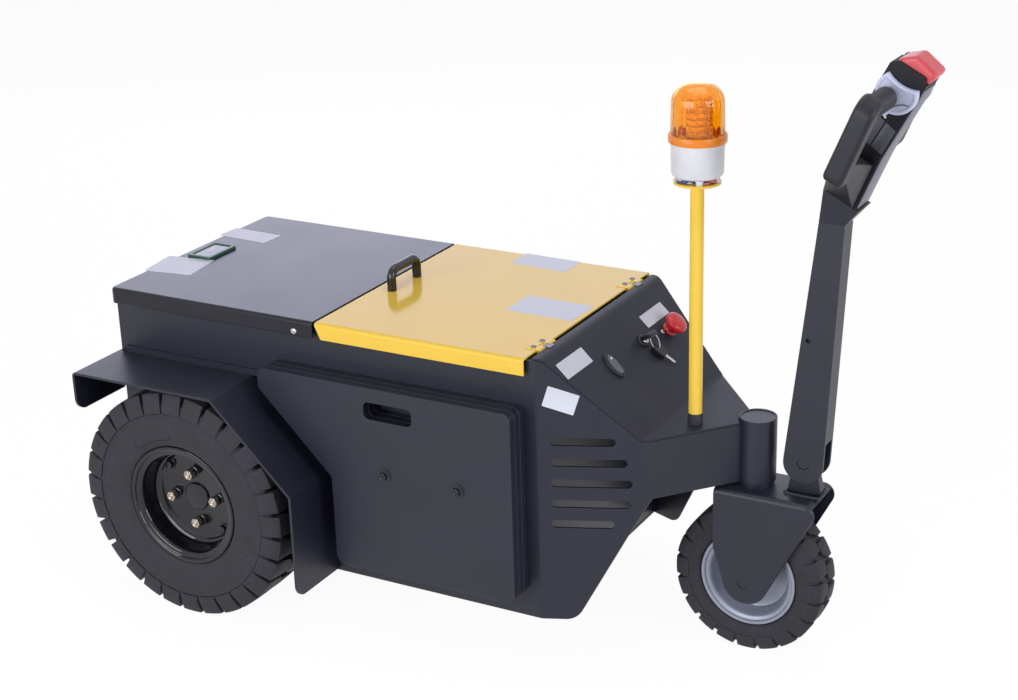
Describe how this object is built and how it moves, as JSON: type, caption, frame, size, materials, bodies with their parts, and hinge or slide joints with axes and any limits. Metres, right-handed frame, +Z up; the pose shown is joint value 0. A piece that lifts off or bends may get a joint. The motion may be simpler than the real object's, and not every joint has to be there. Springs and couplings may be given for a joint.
{
  "type": "electric pedestrian tow tractor",
  "caption": "Walk-behind electric tow tractor: sheet-metal body with hinged battery cover, side weights, lugged wheels, steered front fork with tiller, amber beacon and rear tow jaw",
  "frame": {"origin": "on the ground under the middle of the overall length and width", "axes": "+X forward towards the tiller, +Y to the left, +Z up"},
  "size_m": [1.6752, 0.788, 1.1537],
  "materials": {
    "charcoal_paint": "fine-textured powder coat",
    "black_paint": "satin paint",
    "yellow_paint": "gloss paint",
    "zinc_steel": "zinc plated",
    "black_rim": "gloss paint",
    "silver_rim": "silver paint",
    "tyre_rubber": "matt moulded rubber",
    "drive_casting": "painted casting",
    "battery_case": "moulded",
    "black_plastic": "fine moulded grain",
    "grip_rubber": "matt",
    "grey_plastic": "fine moulded grain",
    "red_plastic": "satin moulded",
    "white_plastic": "satin moulded",
    "amber_lens": "clear tinted",
    "lamp_glass": "clear",
    "gauge_panel": "smooth"
  },
  "bodies": {
    "chassis": {"body_side_right": "charcoal_paint", "body_side_left": "charcoal_paint", "body_floor": "charcoal_paint", "body_rear_panel": "charcoal_paint", "front_bulkhead": "charcoal_paint", "rear_cover": "black_paint", "charge_gauge": "gauge_panel", "hinge_pins": "zinc_steel", "fender_right": "charcoal_paint", "fender_left": "charcoal_paint", "weight_plates_right": "charcoal_paint", "weight_plates_left": "charcoal_paint", "battery_pack": "battery_case", "drive_axle": "drive_casting", "drive_motor": "drive_casting", "tow_coupling": "black_paint", "nose_side_right": "charcoal_paint", "nose_side_left": "charcoal_paint", "nose_console": "charcoal_paint", "stop_button": "red_plastic", "key_switch": "black_plastic", "rocker_switch": "black_plastic", "beacon_pole": "yellow_paint", "pole_boot": "grip_rubber", "beacon_base": "white_plastic", "beacon_dome": "amber_lens", "beacon_lamp": "lamp_glass", "head_tube": "charcoal_paint"},
    "battery_lid": {"battery_cover": "yellow_paint", "cover_handle": "black_paint", "cover_hinges": "zinc_steel"},
    "steering_fork": {"fork": "charcoal_paint", "front_axle": "zinc_steel", "tiller_bracket": "charcoal_paint"},
    "front_wheel": {"front_rim": "silver_rim", "front_tyre": "tyre_rubber"},
    "tiller": {"tiller_arm": "charcoal_paint", "head_frame": "black_plastic", "head_pod": "black_plastic", "throttle_wings": "grey_plastic", "head_grips": "grip_rubber", "belly_button": "red_plastic"},
    "rear_wheel_right": {"rear_rim_right": "black_rim", "rear_tyre_right": "tyre_rubber"},
    "rear_wheel_left": {"rear_rim_left": "black_rim", "rear_tyre_left": "tyre_rubber"}
  },
  "joints": [
    {"name": "battery_lid_hinge", "type": "hinge", "parent": "chassis", "child": "battery_lid", "pos_m": [0.1958, 0, 0.6076], "axis": [0, 1, 0], "range_deg": [0, 95]},
    {"name": "steering", "type": "hinge", "parent": "chassis", "child": "steering_fork", "pos_m": [0.5325, 0, 0.33], "axis": [0, 0, 1], "range_deg": [-90, 90]},
    {"name": "tiller_swing", "type": "hinge", "parent": "steering_fork", "child": "tiller", "pos_m": [0.6285, 0, 0.393], "axis": [0, 1, 0], "range_deg": [0, 75], "stiffness_Nm_per_rad": 40, "springref_deg": -34.38},
    {"name": "front_wheel_roll", "type": "hinge", "parent": "steering_fork", "child": "front_wheel", "pos_m": [0.5325, 0, 0.146], "axis": [0, 1, 0], "continuous": true},
    {"name": "rear_wheel_right_roll", "type": "hinge", "parent": "chassis", "child": "rear_wheel_right", "pos_m": [-0.5075, -0.326, 0.2325], "axis": [0, 1, 0], "continuous": true},
    {"name": "rear_wheel_left_roll", "type": "hinge", "parent": "chassis", "child": "rear_wheel_left", "pos_m": [-0.5075, 0.326, 0.2325], "axis": [0, 1, 0], "continuous": true}
  ]
}
